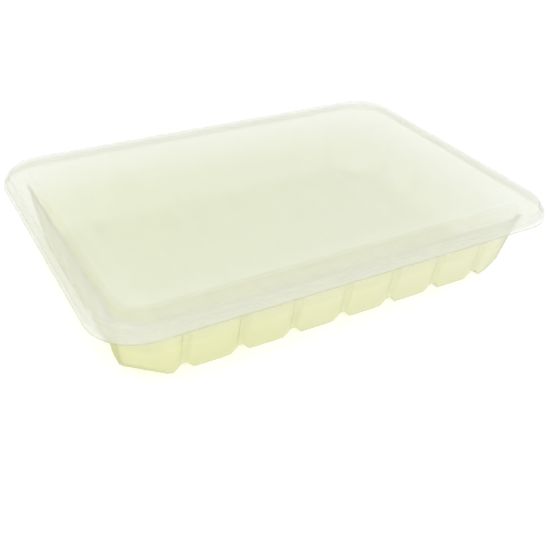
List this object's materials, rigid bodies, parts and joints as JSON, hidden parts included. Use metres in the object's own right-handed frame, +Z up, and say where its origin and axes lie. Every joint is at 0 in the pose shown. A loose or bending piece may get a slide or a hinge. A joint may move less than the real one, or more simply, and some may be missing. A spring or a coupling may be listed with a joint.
{
  "type": "humidity dome tray",
  "caption": "Low fluted propagation tray in translucent pale green plastic, with chamfered base corners and a clear lift-off lid that fits over its rim.",
  "frame": {"origin": "centre of the footprint, on the surface the tray stands on", "axes": "+X along the length, +Y along the width, +Z up towards the lid"},
  "size_m": [0.36, 0.251, 0.0612],
  "materials": {
    "tray_plastic": "translucent pale yellow-green polypropylene, satin",
    "lid_plastic": "clear, slightly hazy polypropylene, glossy"
  },
  "bodies": {
    "base_tray": {"tray": "tray_plastic"},
    "lid": {"dome_lid": "lid_plastic"}
  },
  "joints": [
    {"name": "lid_lift", "type": "slide", "parent": "base_tray", "child": "lid", "axis": [0, 0, 1], "range_m": [0, 0.08]}
  ]
}
